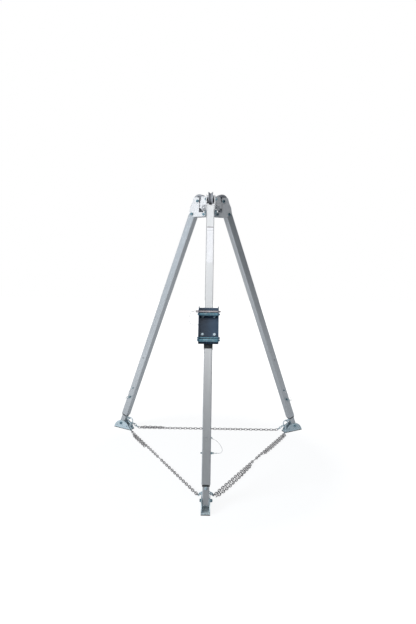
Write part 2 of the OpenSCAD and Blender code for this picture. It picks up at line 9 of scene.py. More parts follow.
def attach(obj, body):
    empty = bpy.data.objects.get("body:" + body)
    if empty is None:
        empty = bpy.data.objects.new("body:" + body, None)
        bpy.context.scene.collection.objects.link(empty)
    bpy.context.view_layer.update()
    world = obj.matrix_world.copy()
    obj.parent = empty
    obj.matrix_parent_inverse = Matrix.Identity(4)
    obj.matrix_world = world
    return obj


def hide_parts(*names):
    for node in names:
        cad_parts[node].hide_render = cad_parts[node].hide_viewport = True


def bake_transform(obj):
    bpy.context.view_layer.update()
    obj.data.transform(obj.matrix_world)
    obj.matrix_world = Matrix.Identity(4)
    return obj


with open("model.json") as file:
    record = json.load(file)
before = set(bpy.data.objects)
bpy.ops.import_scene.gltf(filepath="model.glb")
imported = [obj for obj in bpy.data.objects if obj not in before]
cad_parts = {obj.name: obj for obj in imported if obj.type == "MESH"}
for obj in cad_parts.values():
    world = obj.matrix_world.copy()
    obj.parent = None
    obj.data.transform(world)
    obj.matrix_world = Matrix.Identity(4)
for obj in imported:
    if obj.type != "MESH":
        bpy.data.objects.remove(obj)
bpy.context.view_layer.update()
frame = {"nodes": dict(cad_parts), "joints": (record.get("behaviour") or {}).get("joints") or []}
JOINTS = {joint["name"]: joint for joint in frame["joints"]}
UP = Vector((0, 0, 1))
MM = 0.001

# Sizes in metres, the same values that drive the solids
LEG_OFFSET = 0.107  # from the hinge out to the middle of the tube
TUBE_WIDTH = 0.057
TUBE_LENGTH = 1.95
TUBE_FACE = LEG_OFFSET + TUBE_WIDTH / 2
DETENT_PIN_UP = 0.19  # above the tube's lower end
BRACKET_LINER = 0.002
BRACKET_UP = 0.9  # above the tube's lower end
BRACKET_HEIGHT = 0.256
BRACKET_HALF_WIDTH = 0.069
WINCH_PIN_OUT = 0.046  # in front of the bracket's plate
WINCH_PIN_DOWN = 0.039  # below the bracket's top
WINCH_RING_OUT = 0.0453  # beside the bracket
CORD = 0.002


class Leg:
    """A leg's own axes: out over its outer face, across it, and up along its tube."""

    def __init__(self, name, pull_side):
        self.name = name
        self.pull_side = pull_side
        fold, slide = JOINTS["leg_fold_" + name], JOINTS["leg_slide_" + name]
        self.hinge = Vector(fold["pos_m"])
        self.across = Vector(fold["axis"])
        self.along = -Vector(slide["axis"])
        self.face = self.across.cross(self.along)
        self.out = self.across.cross(UP)

    def at(self, x, s, z):
        """A point of the leg: over its face, across it and up from its hinge."""
        return self.hinge + x * self.face + s * self.across + z * self.along


FRONT, LEFT, RIGHT = LEGS = (Leg("front", 1), Leg("left", 1), Leg("right", -1))
TRIPOD_FOOT = sum((leg.hinge for leg in LEGS), Vector()) / len(LEGS)
TRIPOD_FOOT.z = 0


class Wire:
    """The output of a node, for use in Python arithmetic."""

    def __init__(self, board, socket):
        self.board = board
        self.socket = socket

    def maths(self, operation, *values):
        return self.board.add("ShaderNodeMath", {"operation": operation}, dict(enumerate(values)))

    def vector_maths(self, operation, *values, output=0):
        settings = {"operation": operation}
        return self.board.add("ShaderNodeVectorMath", settings, dict(enumerate(values)), output)

    def __add__(self, other):
        return self.maths("ADD", self, other)

    def __radd__(self, other):
        return self.maths("ADD", other, self)

    def __sub__(self, other):
        return self.maths("SUBTRACT", self, other)

    def __rsub__(self, other):
        return self.maths("SUBTRACT", other, self)

    def __mul__(self, other):
        return self.maths("MULTIPLY", self, other)

    def __rmul__(self, other):
        return self.maths("MULTIPLY", other, self)

    def __mod__(self, other):
        return self.maths("FLOORED_MODULO", self, other)

    def __gt__(self, other):
        return self.maths("GREATER_THAN", self, other)

    def __lt__(self, other):
        return self.maths("LESS_THAN", self, other)

    def absolute(self):
        return self.maths("ABSOLUTE", self)

    def sign(self):
        return self.maths("SIGN", self)

    def larger(self, other):
        return self.maths("MAXIMUM", self, other)

    def between(self, low, high):
        """1 inside a band and 0 outside it."""
        return (self > low) * (self < high)

    def ramp(self, low, high):
        """0 at low and 1 at high, with a straight rise between them."""
        values = {"Value": self, "From Min": low, "From Max": high}
        return self.board.add("ShaderNodeMapRange", {"clamp": True}, values)

    def part(self, letter):
        """One of a vector's three numbers."""
        return self.board.add("ShaderNodeSeparateXYZ", None, {0: self}, letter)

    def moved(self, offset):
        return self.vector_maths("ADD", self, tuple(offset))

    def toward(self, direction):
        """How far a point lies in a direction."""
        return self.vector_maths("DOT_PRODUCT", self, tuple(direction), output="Value")

    def aligned(self, other):
        """1 where two directions are the same."""
        return self.vector_maths("DOT_PRODUCT", self, other, output="Value")

    def distance(self):
        return self.vector_maths("LENGTH", self, output="Value")


class Board:
    """A node tree that is built with calls."""

    def __init__(self, tree):
        self.tree = tree

    def node(self, kind, settings=None, values=None):
        node = self.tree.nodes.new(kind)
        for key, value in (settings or {}).items():
            setattr(node, key, value)
        for key, value in (values or {}).items():
            self.feed(node.inputs[key], value)
        return node

    def add(self, kind, settings=None, values=None, output=0):
        return Wire(self, self.node(kind, settings, values).outputs[output])

    def feed(self, socket, value):
        if isinstance(value, Wire):
            self.tree.links.new(value.socket, socket)
        else:
            socket.default_value = value

    def combine(self, x=0.0, y=0.0, z=0.0):
        return self.add("ShaderNodeCombineXYZ", None, {0: x, 1: y, 2: z})


# The sockets of a Mix node that belong to colours
MIX_FACTOR, MIX_LOW, MIX_HIGH, MIX_RESULT = 0, 6, 7, 2


class Finish(Board):
    """A Principled material whose shading is written as expressions."""

    def __init__(self, name, metallic=0.0, edge=0.0, **sockets):
        self.material = bpy.data.materials.new(name)
        self.material.use_nodes = True
        super().__init__(self.material.node_tree)
        self.shader = self.tree.nodes["Principled BSDF"]
        self.shader.inputs["Metallic"].default_value = metallic
        for key, value in sockets.items():
            self.shader.inputs[key.replace("_", " ")].default_value = value
        self.place = self.add("ShaderNodeTexCoord", output="Object")
        self.edge = edge

    def noise(self, scale, detail=2.0, at=None, roughness=0.5):
        values = {"Vector": at or self.place, "Scale": scale,
                  "Detail": detail, "Roughness": roughness}
        return self.add("ShaderNodeTexNoise", None, values)

    def blend(self, factor, low, high):
        """A colour between two colours."""
        values = {MIX_FACTOR: factor, MIX_LOW: colour(low), MIX_HIGH: colour(high)}
        return self.add("ShaderNodeMix", {"data_type": "RGBA"}, values, MIX_RESULT)

    def softened(self, radius):
        """The surface's direction, with edges rounded over a radius."""
        return self.add("ShaderNodeBevel", {"samples": 6}, {"Radius": radius})

    def worn_edges(self, radius):
        """1 on a sharp outside edge, fading to 0 on the flat beside it."""
        flat = self.add("ShaderNodeNewGeometry", output="Normal")
        return (1 - self.softened(radius).aligned(flat)).ramp(0.01, 0.16)

    def show(self, tone, roughness, relief, depth):
        """Joins the pattern to the shader, over edges that are slightly rounded."""
        self.feed(self.shader.inputs["Base Color"], tone)
        self.feed(self.shader.inputs["Roughness"], roughness)
        values = {"Height": relief, "Strength": 1.0, "Distance": depth}
        if self.edge:
            values["Normal"] = self.softened(self.edge)
        self.feed(self.shader.inputs["Normal"], self.add("ShaderNodeBump", None, values))
        return self.material


def colour(value):
    return value if isinstance(value, Wire) else (*value, 1.0)


def darker(tone, share):
    return [part * share for part in tone]


def extruded_aluminium(leg, name, shift):
    """Drawn tube: fine lines along its length, soft clouding and a few handling scuffs."""
    bare = (0.78, 0.79, 0.80)
    finish = Finish(name, metallic=0.9, edge=0.0022)
    point = finish.place.moved(-leg.hinge)
    x, s, z = (point.toward(way) for way in (leg.face, leg.across, leg.along))
    lines = finish.noise(1.0, 4.0, finish.combine(x * 420 + shift, s * 420, z * 1.3), 0.6)
    clouds = finish.noise(1.0, 3.0, finish.combine(x * 9, s * 9 + shift, z * 3.2))
    grazes = finish.noise(1.0, 5.0, finish.combine(x * 60, s * 60, z * 14 + shift), 0.7)
    scuffs = grazes.ramp(0.66, 0.74)
    shade = clouds.ramp(0.25, 0.75) * 0.55 + lines * 0.45
    tone = finish.blend(shade, darker(bare, 0.86), bare)
    tone = finish.blend(scuffs * 0.5, tone, darker(bare, 0.62))
    return finish.show(tone, lines * 0.16 + clouds * 0.1 + scuffs * 0.12 + 0.2, lines, 0.00006)


def cast_aluminium():
    """Blasted casting: an even grain with slightly polished edges."""
    dull, clean, polished = (0.60, 0.605, 0.62), (0.80, 0.80, 0.81), (0.86, 0.87, 0.88)
    finish = Finish("cast_aluminium", metallic=0.35, edge=0.0012)
    grain = finish.noise(620, 3.0)
    clouds = finish.noise(14, 3.0)
    edges = finish.worn_edges(0.0014)
    tone = finish.blend(clouds * 0.7 + grain * 0.3, dull, clean)
    tone = finish.blend(edges * 0.6, tone, polished)
    return finish.show(tone, grain * 0.2 + 0.36 - edges * 0.14, grain, 0.00028)


def zinc_plate():
    """Bright zinc with a cold tint that drifts between blue and green, and dull spots."""
    blue, green = (0.56, 0.68, 0.76), (0.66, 0.77, 0.80)
    dull, polished = (0.36, 0.42, 0.46), (0.80, 0.84, 0.86)
    finish = Finish("zinc_steel", metallic=0.6, edge=0.0007)
    drift = finish.noise(26, 2.0)
    spots = finish.noise(150, 4.0, roughness=0.65)
    edges = finish.worn_edges(0.0008)
    tone = finish.blend(drift.ramp(0.3, 0.7), blue, green)
    tone = finish.blend(spots.ramp(0.5, 0.8) * 0.5, tone, dull)
    tone = finish.blend(edges * 0.5, tone, polished)
    return finish.show(tone, spots * 0.22 + 0.16, spots, 0.00008)


def bolt_plate():
    """Dark teal passivation on the fasteners; the paler edges are spanner polish and a painted
    highlight.
    """
    deep, thin, polished = (0.13, 0.22, 0.27), (0.34, 0.50, 0.54), (0.74, 0.84, 0.88)
    finish = Finish("bolt_plate", metallic=0.95, edge=0.0006)
    drift = finish.noise(48, 3.0)
    edges = finish.worn_edges(0.0009)
    tone = finish.blend(drift.ramp(0.3, 0.7), deep, thin)
    # Spanner wear and a painted highlight: the edges blend towards a pale tone
    tone = finish.blend(edges * 0.7, tone, polished)
    return finish.show(tone, drift * 0.12 + 0.12, drift, 0.00006)


def pin_steel():
    """Warm stainless pin, turned, with rings where it has slid."""
    dull, clean = (0.50, 0.43, 0.43), (0.74, 0.68, 0.68)
    finish = Finish("pin_steel", metallic=0.8, edge=0.0005)
    across = finish.place.moved(-FRONT.hinge).toward(FRONT.across)
    rings = finish.noise(1.0, 3.0, finish.combine(across * 900, across * 300, 0.5))
    worn = finish.noise(60, 3.0)
    tone = finish.blend(worn.ramp(0.3, 0.7), dull, clean)
    return finish.show(tone, rings * 0.14 + 0.2, rings, 0.00004)


def chain_zinc():
    """Tumbled chain: grey zinc, darker where the links rub."""
    dull, clean, rubbed = (0.32, 0.30, 0.31), (0.52, 0.50, 0.51), (0.13, 0.12, 0.12)
    finish = Finish("chain_zinc", metallic=0.85)
    spots = finish.noise(210, 4.0, roughness=0.7)
    drift = finish.noise(17, 2.0)
    tone = finish.blend(drift.ramp(0.3, 0.7), dull, clean)
    tone = finish.blend(spots.ramp(0.48, 0.66) * 0.75, tone, rubbed)
    return finish.show(tone, spots * 0.25 + 0.26, spots, 0.0001)


def bracket_coat():
    """Dark blue powder coat: a low orange peel, rubbed to metal on its edges."""
    deep, faded, metal = (0.016, 0.034, 0.066), (0.030, 0.064, 0.112), (0.20, 0.30, 0.36)
    finish = Finish("bracket_coat", metallic=0.15, edge=0.001,
                    Coat_Weight=0.25, Coat_Roughness=0.25)
    peel = finish.noise(420, 2.0)
    chips = finish.noise(95, 5.0, roughness=0.75)
    edges = finish.worn_edges(0.0011)
    bare = (edges * chips.ramp(0.42, 0.6)).ramp(0.15, 0.6)
    tone = finish.blend(finish.noise(9, 3.0).ramp(0.3, 0.7), deep, faded)
    tone = finish.blend(bare, tone, metal)
    return finish.show(tone, peel * 0.18 + 0.3, peel, 0.0001)


def crossbar_plate():
    """Blue-green passivated rods, rubbed in the middle where a winch has hung."""
    deep, thin, rubbed = (0.10, 0.24, 0.31), (0.23, 0.43, 0.53), (0.45, 0.50, 0.50)
    rub_from, rub_to = 0.052, 0.03
    finish = Finish("crossbar_plate", metallic=0.75, edge=0.0008)
    across = finish.place.moved(-FRONT.hinge).toward(FRONT.across).absolute()
    wear = finish.noise(120, 4.0).ramp(0.45, 0.7) * across.ramp(rub_from, rub_to)
    drift = finish.noise(30, 3.0)
    tone = finish.blend(drift.ramp(0.3, 0.7), deep, thin)
    tone = finish.blend(wear * 0.7, tone, rubbed)
    return finish.show(tone, drift * 0.15 + 0.22, drift, 0.0001)


def moulded(name, clean, dusty, gloss, grain_size=900, depth=0.00012, coat=0.0):
    """Moulded plastic or rubber with a fine grain and dusty hollows."""
    finish = Finish(name, edge=0.0007, Coat_Weight=coat)
    grain = finish.noise(grain_size, 2.0)
    dust = finish.noise(22, 4.0, roughness=0.65)
    tone = finish.blend(dust.ramp(0.35, 0.75), clean, dusty)
    return finish.show(tone, grain * 0.2 + dust * 0.15 + gloss, grain, depth)


def wire_rope():
    """Laid strands under a thin clear coating, along the cord's own map; grooves get painted shade.
    """
    # The pale tone sits on the strands' crowns; the dark tone is painted shade in the grooves
    crown_tone, groove_painted_shade = (0.62, 0.63, 0.66), (0.30, 0.30, 0.32)
    strands, lays_per_metre = 6, 240
    finish = Finish("wire_rope", metallic=0.7, Coat_Weight=0.4, Coat_Roughness=0.15)
    chart = finish.add("ShaderNodeUVMap", {"uv_map": "cord"})
    turn = chart.part("X") * lays_per_metre + chart.part("Y") * strands
    strand = (turn % 1 - 0.5).absolute() * 2
    # Painted shade: darker towards the grooves, where the relief is lowest
    tone = finish.blend(strand, crown_tone, groove_painted_shade)
    return finish.show(tone, strand * 0.2 + 0.3, 1 - strand * strand, 0.00018)


def label_vinyl(leg, low, high):
    """Blank white film with a dark rule at its top, a thin one below it and a frame line."""
    clean, soiled = (0.80, 0.80, 0.82), (0.70, 0.70, 0.72)
    dark, grey = (0.24, 0.215, 0.22), (0.35, 0.36, 0.38)
    finish = Finish("label_vinyl", Coat_Weight=0.3, Coat_Roughness=0.2)
    point = finish.place.moved(-leg.hinge)
    s, z = point.toward(leg.across).absolute(), point.toward(leg.along)
    rule = z.between(high - 0.0095, high - 0.001)
    second = z.between(high - 0.033, high - 0.029)
    frame_foot = z.between(low + 0.004, low + 0.006)
    frame_sides = s.between(0.0195, 0.0207) * (z < high - 0.05)
    lines = (second + frame_foot + frame_sides).ramp(0.0, 1.0)
    worn = finish.noise(60, 4.0, roughness=0.7)
    tone = finish.blend(worn.ramp(0.3, 0.8), clean, soiled)
    tone = finish.blend(rule * 0.85, tone, dark)
    tone = finish.blend(lines * 0.5, tone, grey)
    return finish.show(tone, worn * 0.15 + 0.3, worn, 0.00002)


def spot_vinyl():
    """Yellow film, paler and darker where it has been handled."""
    clean, soiled = (0.80, 0.62, 0.05), (0.62, 0.47, 0.05)
    finish = Finish("spot_vinyl", Coat_Weight=0.3, Coat_Roughness=0.2)
    worn = finish.noise(140, 4.0, roughness=0.7)
    tone = finish.blend(worn.ramp(0.35, 0.7), clean, soiled)
    return finish.show(tone, worn * 0.2 + 0.3, worn, 0.00002)


CAST = cast_aluminium()
ZINC = zinc_plate()
CHAIN = chain_zinc()
BOLT = bolt_plate()
PIN = pin_steel()
COAT = bracket_coat()
CROSSBAR = crossbar_plate()
SHEAVE = moulded("sheave_nylon", (0.20, 0.21, 0.235), (0.32, 0.33, 0.35), 0.22, 700, 0.0001, 0.15)
GUIDE = moulded("guide_nylon", (0.018, 0.018, 0.02), (0.04, 0.04, 0.042), 0.3)
WASHER = moulded("washer_nylon", (0.72, 0.72, 0.68), (0.60, 0.60, 0.56), 0.3)
RUBBER = moulded("sole_rubber", (0.012, 0.014, 0.016), (0.05, 0.052, 0.052), 0.5, 380, 0.0004)
ROPE = wire_rope()

# How a node's name starts, and its finish; the first that fits is taken
NODE_FINISH = {
    "head_hub": CAST, "head_arms": CAST, "anchor_eyes": CAST, "leg_bracket": CAST,
    "hinge_bolts": BOLT, "hinge_washers": WASHER, "leg_fasteners": BOLT, "sheave": SHEAVE,
    "tube_bush": GUIDE, "tube_glide": GUIDE, "detent_pin": BOLT, "lanyard": ROPE,
    "foot_bolt": BOLT, "foot_shoe": ZINC, "foot_pad": RUBBER, "eye_bolt": ZINC,
    "chain_ring": ZINC, "chain_": CHAIN,
    "winch_bracket": COAT, "winch_crossbars": CROSSBAR, "winch_clamp": ZINC,
    "winch_liner": RUBBER, "winch_pin": PIN,
}


def dress(node, material):
    """A CAD node keeps its shape and takes this material in every slot."""
    shape = frame["nodes"][node]
    if not shape.material_slots:
        shape.data.materials.append(material)
    for place in shape.material_slots:
        place.link = "OBJECT"
        place.material = material


def dress_nodes():
    """Each tube has its own drawn finish, and the other nodes share theirs."""
    for number, leg in enumerate(LEGS):
        for node in ("upper_tube_" + leg.name, "lower_tube_" + leg.name):
            dress(node, extruded_aluminium(leg, node, 7.0 * number + 11))
    for node in frame["nodes"]:
        start = next((start for start in NODE_FINISH if node.startswith(start)), None)
        if start:
            dress(node, NODE_FINISH[start])


dress_nodes()


def piece(name, mesh, body, material=None):
    """A finished mesh as a named object that rides on a body, if one is given."""
    thing = bpy.data.objects.new(name, mesh)
    mesh.name = name
    bpy.context.scene.collection.objects.link(thing)
    if material:
        mesh.materials.clear()
        mesh.materials.append(material)
    if body:
        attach(thing, body)
    return thing


def plain_mesh(build):
    """The mesh of a finished bmesh, with its faces pointing out."""
    bmesh.ops.recalc_face_normals(build, faces=build.faces)
    mesh = bpy.data.meshes.new("shape")
    build.to_mesh(mesh)
    build.free()
    return mesh


FILM = 0.0003
LABEL_LOW, LABEL_HIGH = -0.456, -0.172  # along the tube, from the hinge
LABEL_HALF_WIDTH, LABEL_CORNER = 0.0235, 0.003
SPOT_LOW, SPOT_HIGH = -0.150, -0.118
SPOT_HALF_WIDTH, SPOT_CORNER = 0.012, 0.0115
SPOT_SHIFT = 0.006  # from the middle of the tube's side towards its face


def rounded_outline(half_width, half_height, corner, steps=6):
    """A rectangle with round corners, as points across and up from its middle."""
    outline = []
    for quarter, (across, up) in enumerate(((1, 1), (-1, 1), (-1, -1), (1, -1))):
        for step in range(steps + 1):
            turn = math.radians(90 * quarter + 90 / steps * step)
            outline.append((across * (half_width - corner) + corner * math.cos(turn),
                            up * (half_height - corner) + corner * math.sin(turn)))
    return outline


def film(outline, middle, across, up, out):
    """A thin film with this outline, glued on a face of a tube."""
    build = bmesh.new()
    glued, shown = ([build.verts.new(middle + u * across + v * up + lift * out)
                     for u, v in outline] for lift in (0.0, FILM))
    build.faces.new(shown)
    build.faces.new(list(reversed(glued)))
    for i in range(len(outline)):
        j = (i + 1) % len(outline)
        build.faces.new((glued[i], glued[j], shown[j], shown[i]))
    return plain_mesh(build)


def label():
    """The blank label on the front tube's outer face."""
    outline = rounded_outline(LABEL_HALF_WIDTH, (LABEL_HIGH - LABEL_LOW) / 2, LABEL_CORNER)
    middle = FRONT.at(TUBE_FACE, 0, (LABEL_LOW + LABEL_HIGH) / 2)
    mesh = film(outline, middle, FRONT.across, FRONT.along, FRONT.face)
    vinyl = label_vinyl(FRONT, LABEL_LOW, LABEL_HIGH)
    piece("label_front", mesh, "leg_front", vinyl)


def spot():
    """The round yellow sticker on the front tube's side."""
    outline = rounded_outline(SPOT_HALF_WIDTH, (SPOT_HIGH - SPOT_LOW) / 2, SPOT_CORNER)
    middle = FRONT.at(LEG_OFFSET + SPOT_SHIFT, TUBE_WIDTH / 2, (SPOT_LOW + SPOT_HIGH) / 2)
    mesh = film(outline, middle, FRONT.face, FRONT.along, FRONT.across)
    piece("spot_front", mesh, "leg_front", spot_vinyl())


label()
spot()


def smooth_route(points, steps):
    """Extra points on a soft curve through the given ones."""
    ends = [2 * points[0] - points[1], *points, 2 * points[-1] - points[-2]]
    route = []
    for a, b, c, d in zip(ends, ends[1:], ends[2:], ends[3:]):
        for step in range(steps):
            t = step / steps
            route.append(0.5 * (2 * b + (c - a) * t + (2 * a - 5 * b + 4 * c - d) * t * t
                                + (3 * b - a - 3 * c + d) * t * t * t))
    return route + [points[-1]]


def tube_along(route, radius, sides=10):
    """A closed round tube along a route, with a map of its length and its turn."""
    build = bmesh.new()
    chart = build.loops.layers.uv.new("cord")
    normal = (route[1] - route[0]).orthogonal().normalized()
    rings, lengths, run = [], [], 0.0
    for i, point in enumerate(route):
        way = (route[min(i + 1, len(route) - 1)] - route[max(i - 1, 0)]).normalized()
        normal = (normal - normal.dot(way) * way).normalized()
        other = way.cross(normal)
        run += (point - route[i - 1]).length if i else 0.0
        lengths.append(run)
        rings.append([build.verts.new(point + radius * (math.cos(a) * normal + math.sin(a) * other))
                      for a in (math.tau * k / sides for k in range(sides))])
    for i in range(len(route) - 1):
        for k in range(sides):
            n = (k + 1) % sides
            face = build.faces.new((rings[i][k], rings[i][n], rings[i + 1][n], rings[i + 1][k]))
            face.smooth = True
            spots = ((i, k), (i, k + 1), (i + 1, k + 1), (i + 1, k))
            for loop, (row, turn) in zip(face.loops, spots):
                loop[chart].uv = (lengths[row], turn / sides)
    build.faces.new(list(reversed(rings[0])))
    build.faces.new(rings[-1])
    return plain_mesh(build), run


# Routes in millimetres, over the leg's face, across it and along it. A leg's cord runs from the
# screw on its tube to the pull ring, measured from the pin; the winch pin's runs from its pull
# ring to the bracket, measured from that ring.
LEG_CORD = [(0, 32, 89), (0, 44, 87), (1, 72, 70), (2, 95, 40),
            (2, 102, 20), (1, 95, 5), (0, 82, 0), (0, 73.6, 0)]
WINCH_CORD = [(0, 0, 0), (0, -8, -8), (-6, -17, -34), (-16, -18, -60),
              (-26, -6, -82), (-30, 14, -90), (-30, 34, -88), (-30, 44, -86)]
SLEEVE_RADIUS = 0.95 * CORD
ROUTE_STEPS = 6


def pin_cord(name, start_body, end_body, points, node):
    """A short wire rope between a pull ring and its anchor, with a pressed sleeve at each end."""
    route = smooth_route(points, ROUTE_STEPS)
    mesh, length = tube_along(route, CORD / 2)
    rope = piece(name, mesh, None, ROPE)
    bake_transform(rope)
    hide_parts(node)
    for end, part, body in (("a", route[1:ROUTE_STEPS], start_body),
                            ("b", route[-ROUTE_STEPS:-1], end_body)):
        sleeve, _ = tube_along(part, SLEEVE_RADIUS, sides=12)
        piece(f"{name}_sleeve_{end}", sleeve, body, ZINC)


def leg_cord(leg):
    """The lanyard of a leg's detent pin, on the side where the pin is pulled."""
    up = DETENT_PIN_UP - TUBE_LENGTH
    points = [leg.at(LEG_OFFSET + x * MM, leg.pull_side * s * MM, up + z * MM)
              for x, s, z in LEG_CORD]
    pin_cord("pin_cord_" + leg.name, "leg_" + leg.name, "pin_" + leg.name, points,
             "lanyard_" + leg.name)


def winch_cord():
    """The lanyard of the winch pin, round the side of the bracket."""
    ring_x = TUBE_FACE + BRACKET_LINER + WINCH_PIN_OUT
    ring_s = -BRACKET_HALF_WIDTH - WINCH_RING_OUT
    ring_z = BRACKET_UP - TUBE_LENGTH + BRACKET_HEIGHT - WINCH_PIN_DOWN
    points = [FRONT.at(ring_x + x * MM, ring_s + s * MM, ring_z + z * MM)
              for x, s, z in WINCH_CORD]
    pin_cord("pin_cord_winch", "bracket_pin", "leg_front", points, "lanyard_winch")


for leg in LEGS:
    leg_cord(leg)
winch_cord()

# The floor chain, laid as its solids are; the shown wire is a little slimmer than theirs. Its
# points are out from the tripod's middle, across the leg and up, on the side of the next leg.
LINK = {"Wire": 0.005, "Inside Length": 0.024, "Width": 0.0215}
SOLID_WIRE = 0.0055
LINK_PLAY = 0.0005
LINK_STEP = LINK["Inside Length"] - LINK_PLAY
FLOOR_GAP = 0.0006
MIDDLE_GAP = 0.0006  # between the two halves of a span
QUARTER = math.radians(90)
SPAN_TURN = math.radians(30)
CHAIN_WAY = Vector((-math.cos(SPAN_TURN), math.sin(SPAN_TURN), 0))
CHAIN_OUTSIDE = Vector((math.sin(SPAN_TURN), math.cos(SPAN_TURN), 0))
CHAIN_PIVOT = Vector(JOINTS["chain_drop_front_to_right"]["pos_m"]) - TRIPOD_FOOT
CHAIN_START = Vector((CHAIN_PIVOT.dot(FRONT.out), CHAIN_PIVOT.dot(FRONT.across), CHAIN_PIVOT.z))
CHAIN_LOW = (LINK["Width"] - SOLID_WIRE) / 2 * math.sin(QUARTER / 2) + SOLID_WIRE / 2 + FLOOR_GAP
CHAIN_DROP = CHAIN_START.z - CHAIN_LOW
CHAIN_FLOOR = CHAIN_START + math.sqrt(LINK_STEP**2 - CHAIN_DROP**2) * CHAIN_WAY - CHAIN_DROP * UP
CHAIN_RUN = -CHAIN_FLOOR.dot(CHAIN_WAY) - SOLID_WIRE - MIDDLE_GAP
CHAIN_LINKS = round(CHAIN_RUN / LINK_STEP)
CHAIN_STEP = CHAIN_RUN / CHAIN_LINKS
LINK_WANDER = 0.0006
LEAN_BY_WANDER, YAW_BY_WANDER = 60, 30  # radians per metre of wander
LINK_POINTS, WIRE_POINTS = 16, 9


def round_link(board, wire, inside_length, width):
    """A ring of wire, pushed apart along X into a link."""
    mean = (width - wire) * 0.5
    reach = (inside_length + wire) * 0.5 - mean
    ring = board.add("GeometryNodeCurvePrimitiveCircle", None,
                     {"Resolution": LINK_POINTS, "Radius": mean}, "Curve")
    side = board.add("GeometryNodeInputPosition").part("X").sign()
    oval = board.add("GeometryNodeSetPosition", None,
                     {"Geometry": ring, "Offset": board.combine(side * reach)})
    section = board.add("GeometryNodeCurvePrimitiveCircle", None,
                        {"Resolution": WIRE_POINTS, "Radius": wire * 0.5}, "Curve")
    link = board.add("GeometryNodeCurveToMesh", None, {"Curve": oval, "Profile Curve": section})
    return board.add("GeometryNodeSetShadeSmooth", None, {"Geometry": link})


def random_share(board, seed):
    """A random number for each link, between -1 and 1."""
    return board.add("FunctionNodeRandomValue", {"data_type": "FLOAT"},
                     {"Min": -1.0, "Max": 1.0, "Seed": seed}, 1)


def chain_tree(material):
    """Round links along X, each turned a quarter from the last, with a little play between them."""
    tree = bpy.data.node_groups.new("chain_span", "GeometryNodeTree")
    inputs = {"Links": ("NodeSocketInt", 1), "Step": ("NodeSocketFloat", CHAIN_STEP),
              "Wire": ("NodeSocketFloat", LINK["Wire"]),
              "Inside Length": ("NodeSocketFloat", LINK["Inside Length"]),
              "Width": ("NodeSocketFloat", LINK["Width"]), "Roll": ("NodeSocketFloat", 0.0),
              "Wander": ("NodeSocketFloat", 0.0), "Seed": ("NodeSocketInt", 0)}
    for name, (kind, value) in inputs.items():
        tree.interface.new_socket(name, in_out="INPUT", socket_type=kind).default_value = value
    tree.interface.new_socket("Geometry", in_out="OUTPUT", socket_type="NodeSocketGeometry")
    board = Board(tree)
    take = {name: board.add("NodeGroupInput", output=name) for name in inputs}
    number = board.add("GeometryNodeInputIndex")
    lean, side = random_share(board, take["Seed"]), random_share(board, take["Seed"] + 7)
    roll = take["Roll"] + (number % 2) * QUARTER + lean * take["Wander"] * LEAN_BY_WANDER
    turned = board.combine(roll, 0.0, side * take["Wander"] * YAW_BY_WANDER)
    row = board.add("GeometryNodeMeshLine", {"mode": "OFFSET"},
                    {"Count": take["Links"], "Start Location": board.combine(take["Step"] * 0.5),
                     "Offset": board.combine(take["Step"])})
    row = board.add("GeometryNodeSetPosition", None,
                    {"Geometry": row, "Offset": board.combine(0.0, side * take["Wander"])})
    link = round_link(board, take["Wire"], take["Inside Length"], take["Width"])
    chain = board.add("GeometryNodeInstanceOnPoints", None,
                      {"Points": row, "Instance": link, "Rotation": turned})
    chain = board.add("GeometryNodeRealizeInstances", None, {"Geometry": chain})
    chain = board.add("GeometryNodeSetMaterial", None, {"Geometry": chain, "Material": material})
    board.node("NodeGroupOutput", None, {"Geometry": chain})
    return tree


CHAIN_TREE = chain_tree(CHAIN)


def grown(tree, values):
    """The plain mesh that a node tree makes with these values."""
    seed = bpy.data.objects.new("seed", bpy.data.meshes.new("seed"))
    bpy.context.scene.collection.objects.link(seed)
    modifier = seed.modifiers.new("grow", "NODES")
    modifier.node_group = tree
    for item in tree.interface.items_tree:
        if item.in_out == "INPUT" and item.name in values:
            modifier[item.identifier] = values[item.name]
    shape = seed.evaluated_get(bpy.context.evaluated_depsgraph_get())
    mesh = bpy.data.meshes.new_from_object(shape)
    bpy.data.objects.remove(seed)
    return mesh


def facing(start, way):
    """Turns X to a direction, keeps Y level, and moves to a start."""
    way = way.normalized()
    level = UP.cross(way).normalized()
    return Matrix.Translation(start) @ Matrix((way, level, way.cross(level))).transposed().to_4x4()


def beside(leg, side):
    """From a span's own axes to the world: mirrored for the leg's other side."""
    axes = Matrix((leg.out, side * leg.across, UP)).transposed().to_4x4()
    return Matrix.Translation(TRIPOD_FOOT) @ axes


def joined(parts, mirrored):
    """Meshes with their places as one mesh, turned right side out after a mirror."""
    build = bmesh.new()
    for mesh, place in parts:
        mesh.transform(place)
        build.from_mesh(mesh)
    if mirrored:
        bmesh.ops.reverse_faces(build, faces=build.faces)
    whole = parts[0][0].copy()
    build.to_mesh(whole)
    build.free()
    return whole


def half_span(leg, side, other, seed):
    """One link that slopes down from the ring's own links, then a run along the floor."""
    place = beside(leg, side)
    slope = dict(LINK, Links=1, Step=LINK_STEP, Roll=1.5 * QUARTER)
    run = dict(LINK, Links=CHAIN_LINKS, Roll=2.5 * QUARTER, Wander=LINK_WANDER, Seed=seed)
    parts = [(grown(CHAIN_TREE, slope), place @ facing(CHAIN_START, CHAIN_FLOOR - CHAIN_START)),
             (grown(CHAIN_TREE, run), place @ facing(CHAIN_FLOOR, CHAIN_WAY))]
    title = f"chain_{leg.name}_to_{other.name}"
    chain = piece("links_" + title, joined(parts, side < 0), "half_" + title)
    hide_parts(title)


